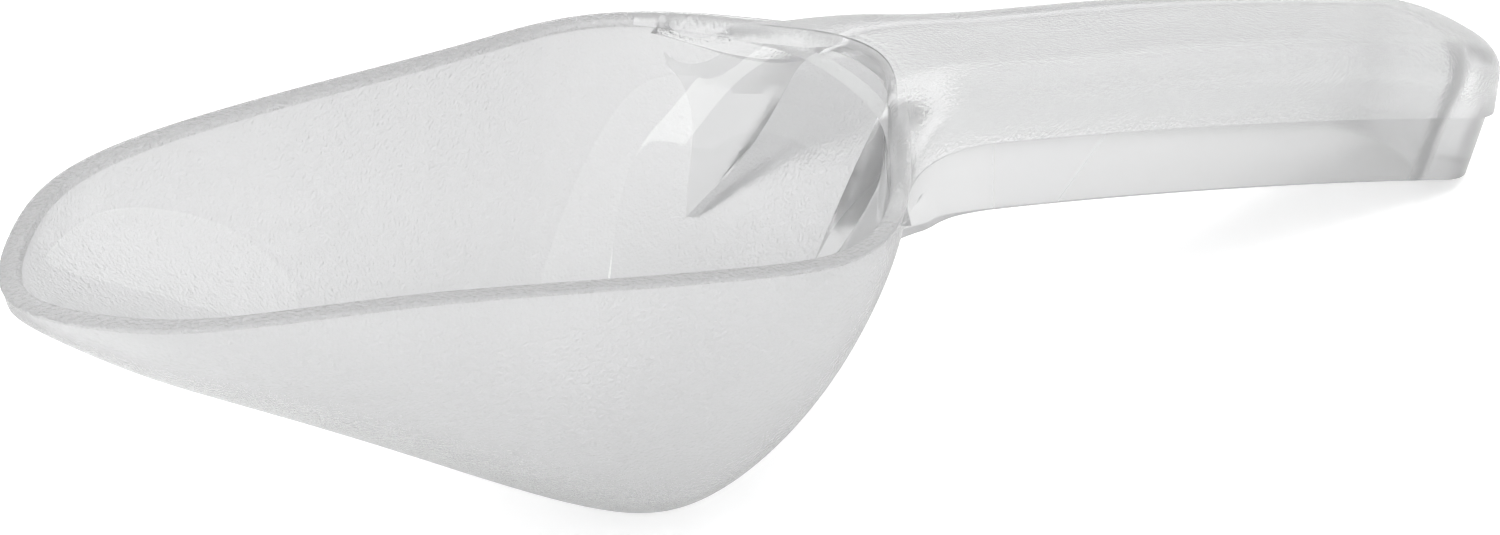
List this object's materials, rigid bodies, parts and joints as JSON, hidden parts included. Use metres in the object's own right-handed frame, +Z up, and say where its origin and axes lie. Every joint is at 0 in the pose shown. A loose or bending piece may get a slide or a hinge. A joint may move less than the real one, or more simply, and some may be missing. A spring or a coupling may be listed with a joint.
{
  "type": "ice scoop",
  "caption": "Clear plastic bar scoop with a deep pointed bowl, a lip round its mouth, and a hollow handle that slopes down to the counter.",
  "frame": {"origin": "centre of the bounding box in plan, on the counter that the scoop rests on", "axes": "+X along the scoop from the nose of the bowl to the tail of the handle, +Z up out of the bowl's mouth, Y = 0 is the plane of symmetry"},
  "size_m": [0.2402, 0.0732, 0.06],
  "materials": {
    "clear_plastic": "clear polycarbonate, finely frosted on the bowl's outside, at its front and on the grip, and polished elsewhere"
  },
  "bodies": {
    "root": {"bowl_shell": "clear_plastic", "rim_lip": "clear_plastic", "handle_grip": "clear_plastic", "handle_skirt_near": "clear_plastic", "handle_skirt_far": "clear_plastic", "handle_end_block": "clear_plastic"}
  },
  "joints": []
}
